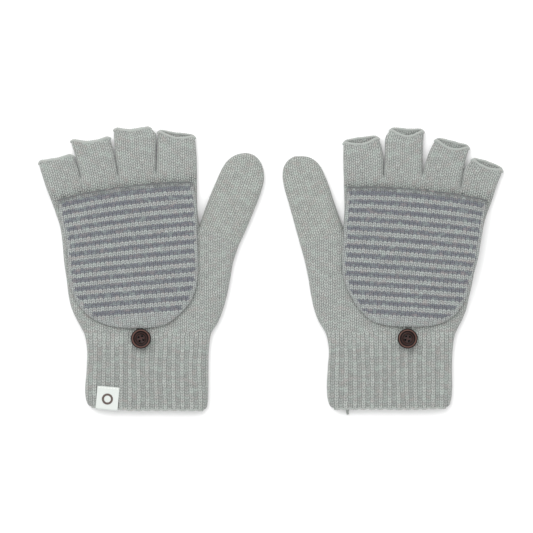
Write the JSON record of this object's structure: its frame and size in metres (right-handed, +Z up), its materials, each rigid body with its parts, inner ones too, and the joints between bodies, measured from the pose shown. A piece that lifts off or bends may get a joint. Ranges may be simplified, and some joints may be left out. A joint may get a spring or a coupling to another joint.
{
  "type": "convertible flip-top mittens",
  "caption": "Pair of knitted half-finger gloves with striped flip caps folded back and looped onto buttons at the wrists.",
  "frame": {"origin": "middle of the pair's footprint, on the surface that it lies on", "axes": "+X across the pair, from the left mitten to the right one; +Y from the cuffs to the fingers; +Z up, out of the backs of the hands"},
  "size_m": [0.325, 0.2031, 0.015],
  "materials": {
    "grey_knit": "matt stockinette knit in heathered wool-blend yarn",
    "rib_knit": "matt two-by-two rib knit",
    "thumb_knit": "matt stockinette knit, lighter heathered yarn",
    "striped_knit": "matt stockinette knit in narrow dark and light stripes",
    "cap_knit": "matt stockinette knit, inner panel of the cap",
    "seam_yarn": "matt yarn in chain stitches",
    "edge_yarn": "matt yarn, bound-off edge",
    "loop_yarn": "matt twisted yarn",
    "button": "polished, mottled horn-like resin",
    "button_thread": "matt sewing thread",
    "label_weave": "satin woven tape",
    "label_mark": "satin embroidery thread",
    "label_thread": "satin sewing thread"
  },
  "bodies": {
    "left_mitten": {"left_cuff": "rib_knit", "left_cuff_hem": "rib_knit", "left_hand": "grey_knit", "left_knuckle_band": "grey_knit", "left_cap_seam": "seam_yarn", "left_thread_anchor": "button_thread", "left_label": "label_weave", "left_label_mark": "label_mark", "left_label_stitches": "label_thread"},
    "left_thumb": {"left_thumb": "thumb_knit"},
    "left_index": {"left_index_finger": "grey_knit", "left_index_edge": "edge_yarn"},
    "left_middle": {"left_middle_finger": "grey_knit", "left_middle_edge": "edge_yarn"},
    "left_ring": {"left_ring_finger": "grey_knit", "left_ring_edge": "edge_yarn"},
    "left_little": {"left_little_finger": "grey_knit", "left_little_edge": "edge_yarn"},
    "left_cap_back": {"left_cap_back": "cap_knit"},
    "left_cap_palm": {"left_cap_palm": "striped_knit", "left_cap_hem": "striped_knit"},
    "left_button_loop": {"left_button_loop": "loop_yarn"},
    "left_button": {"left_button": "button", "left_button_thread": "button_thread"},
    "right_mitten": {"right_cuff": "rib_knit", "right_cuff_hem": "rib_knit", "right_hand": "grey_knit", "right_knuckle_band": "grey_knit", "right_cap_seam": "seam_yarn", "right_thread_anchor": "button_thread", "right_yarn_tail": "loop_yarn"},
    "right_thumb": {"right_thumb": "thumb_knit"},
    "right_index": {"right_index_finger": "grey_knit", "right_index_edge": "edge_yarn"},
    "right_middle": {"right_middle_finger": "grey_knit", "right_middle_edge": "edge_yarn"},
    "right_ring": {"right_ring_finger": "grey_knit", "right_ring_edge": "edge_yarn"},
    "right_little": {"right_little_finger": "grey_knit", "right_little_edge": "edge_yarn"},
    "right_cap_back": {"right_cap_back": "cap_knit"},
    "right_cap_palm": {"right_cap_palm": "striped_knit", "right_cap_hem": "striped_knit"},
    "right_button_loop": {"right_button_loop": "loop_yarn"},
    "right_button": {"right_button": "button", "right_button_thread": "button_thread"}
  },
  "joints": [
    {"name": "left_cap_fold", "type": "hinge", "parent": "left_mitten", "child": "left_cap_back", "pos_m": [-0.10307, 0.05585, 0.0105], "axis": [-0.9912, -0.1323, 0], "range_deg": [0, 180], "deforming": ["left_button_loop"]},
    {"name": "left_cap_mouth", "type": "slide", "parent": "left_cap_back", "child": "left_cap_palm", "axis": [0, 0, 1], "range_m": [0, 0.0084]},
    {"name": "left_loop_swing", "type": "hinge", "parent": "left_cap_back", "child": "left_button_loop", "pos_m": [-0.093, -0.04001, 0.01065], "axis": [-0.9912, -0.1323, 0], "range_deg": [0, 95], "deforming": ["left_button_loop"]},
    {"name": "left_button_turn", "type": "hinge", "parent": "left_mitten", "child": "left_button", "pos_m": [-0.09193, -0.04809, 0.0122], "axis": [0, 0, 1], "range_deg": [-25, 25]},
    {"name": "left_thumb_swing", "type": "hinge", "parent": "left_mitten", "child": "left_thumb", "pos_m": [-0.03667, 0.02355, 0.0046], "axis": [0, 0, -1], "range_deg": [-12, 10]},
    {"name": "left_index_gather", "type": "hinge", "parent": "left_mitten", "child": "left_index", "pos_m": [-0.06674, 0.04715, 0.00475], "axis": [0, 0, 1], "range_deg": [0, 8.5]},
    {"name": "left_middle_gather", "type": "hinge", "parent": "left_mitten", "child": "left_middle", "pos_m": [-0.0938, 0.04718, 0.00475], "axis": [0, 0, 1], "range_deg": [0, 2]},
    {"name": "left_ring_gather", "type": "hinge", "parent": "left_mitten", "child": "left_ring", "pos_m": [-0.1164, 0.04614, 0.00475], "axis": [0, 0, -1], "range_deg": [0, 7]},
    {"name": "left_little_gather", "type": "hinge", "parent": "left_mitten", "child": "left_little", "pos_m": [-0.13766, 0.04275, 0.00475], "axis": [0, 0, -1], "range_deg": [0, 15]},
    {"name": "pair_spacing", "type": "slide", "parent": "left_mitten", "child": "right_mitten", "axis": [1, 0, 0], "range_m": [0, 0.06]},
    {"name": "right_cap_fold", "type": "hinge", "parent": "right_mitten", "child": "right_cap_back", "pos_m": [0.10383, 0.05295, 0.0105], "axis": [-0.9957, 0.0924, 0], "range_deg": [0, 180], "deforming": ["right_button_loop"]},
    {"name": "right_cap_mouth", "type": "slide", "parent": "right_cap_back", "child": "right_cap_palm", "axis": [0, 0, 1], "range_m": [0, 0.0084]},
    {"name": "right_loop_swing", "type": "hinge", "parent": "right_cap_back", "child": "right_button_loop", "pos_m": [0.09778, -0.04044, 0.01065], "axis": [-0.9957, 0.0924, 0], "range_deg": [0, 95], "deforming": ["right_button_loop"]},
    {"name": "right_button_turn", "type": "hinge", "parent": "right_mitten", "child": "right_button", "pos_m": [0.09707, -0.04806, 0.0122], "axis": [0, 0, 1], "range_deg": [-25, 25]},
    {"name": "right_thumb_swing", "type": "hinge", "parent": "right_mitten", "child": "right_thumb", "pos_m": [0.03653, 0.02415, 0.0046], "axis": [0, 0, 1], "range_deg": [-12, 10]},
    {"name": "right_index_gather", "type": "hinge", "parent": "right_mitten", "child": "right_index", "pos_m": [0.06778, 0.04421, 0.00475], "axis": [0, 0, -1], "range_deg": [0, 8.5]},
    {"name": "right_middle_gather", "type": "hinge", "parent": "right_mitten", "child": "right_middle", "pos_m": [0.09316, 0.04418, 0.00475], "axis": [0, 0, -1], "range_deg": [0, 2]},
    {"name": "right_ring_gather", "type": "hinge", "parent": "right_mitten", "child": "right_ring", "pos_m": [0.11651, 0.0414, 0.00475], "axis": [0, 0, 1], "range_deg": [0, 7]},
    {"name": "right_little_gather", "type": "hinge", "parent": "right_mitten", "child": "right_little", "pos_m": [0.13714, 0.03518, 0.00475], "axis": [0, 0, 1], "range_deg": [0, 15]}
  ],
  "couplings": [
    {"joint": "left_index_gather", "follows": "left_cap_fold", "ratio": 0.0472},
    {"joint": "left_middle_gather", "follows": "left_cap_fold", "ratio": 0.0111},
    {"joint": "left_ring_gather", "follows": "left_cap_fold", "ratio": 0.0388},
    {"joint": "left_little_gather", "follows": "left_cap_fold", "ratio": 0.0833},
    {"joint": "right_index_gather", "follows": "right_cap_fold", "ratio": 0.0472},
    {"joint": "right_middle_gather", "follows": "right_cap_fold", "ratio": 0.0111},
    {"joint": "right_ring_gather", "follows": "right_cap_fold", "ratio": 0.0388},
    {"joint": "right_little_gather", "follows": "right_cap_fold", "ratio": 0.0833}
  ]
}
